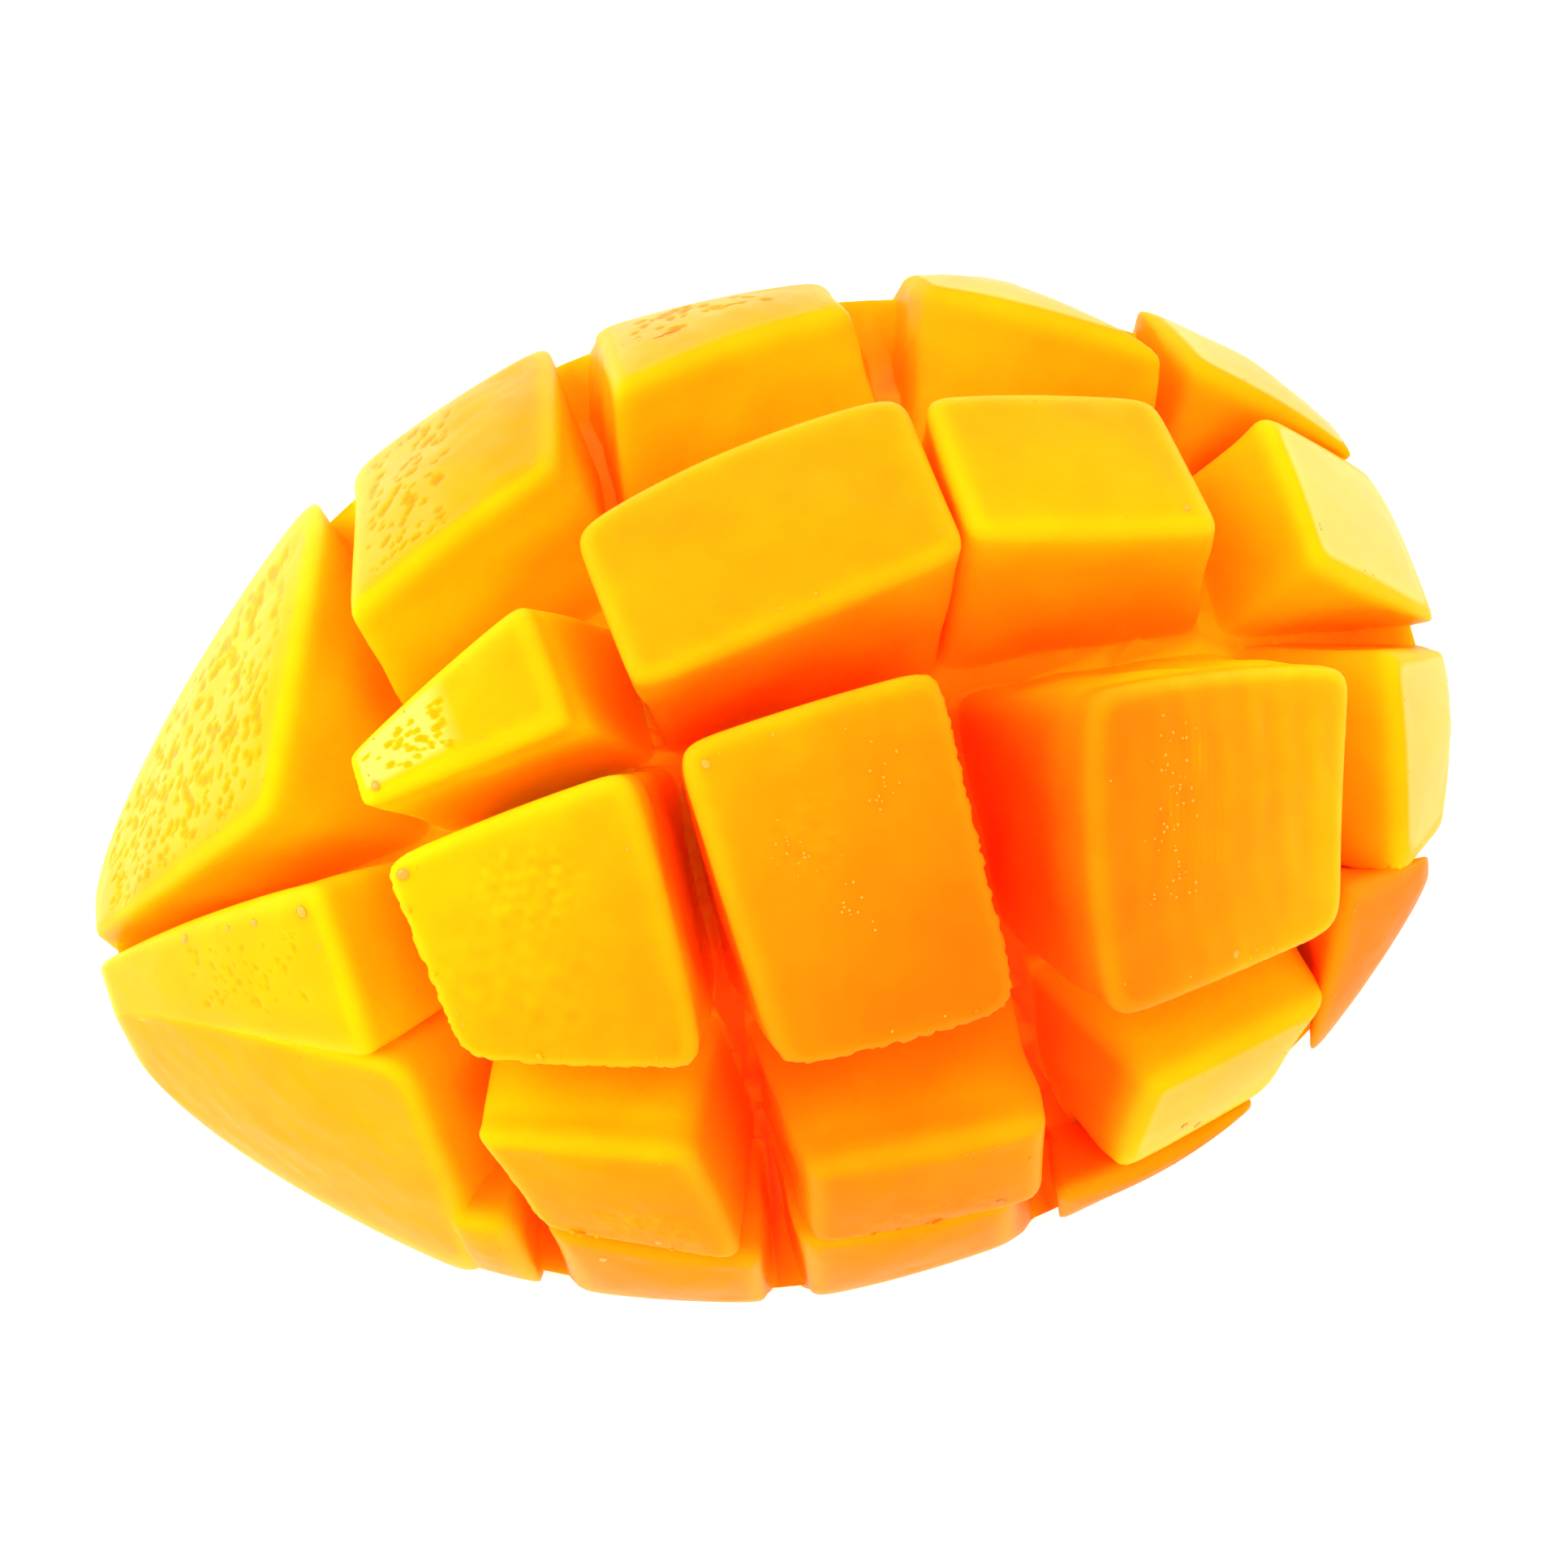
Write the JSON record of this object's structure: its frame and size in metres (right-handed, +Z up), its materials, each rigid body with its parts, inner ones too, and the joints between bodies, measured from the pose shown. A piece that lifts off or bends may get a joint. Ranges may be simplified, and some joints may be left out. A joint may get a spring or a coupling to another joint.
{
  "type": "scored mango cheek",
  "caption": "Fresh mango cheek scored into cubes and turned inside out, so the cubes of flesh splay out over a dome of peel.",
  "frame": {"origin": "middle of the outline, on the plane that the rim of the peel stands on", "axes": "+X along the fruit to its blunt end, +Z up towards the crown of the dome"},
  "size_m": [0.1194, 0.0866, 0.04],
  "materials": {
    "mango_flesh": "moist, golden yellow flesh, orange in the cuts"
  },
  "bodies": {
    "root": {"mango_cheek": "mango_flesh"}
  },
  "joints": []
}
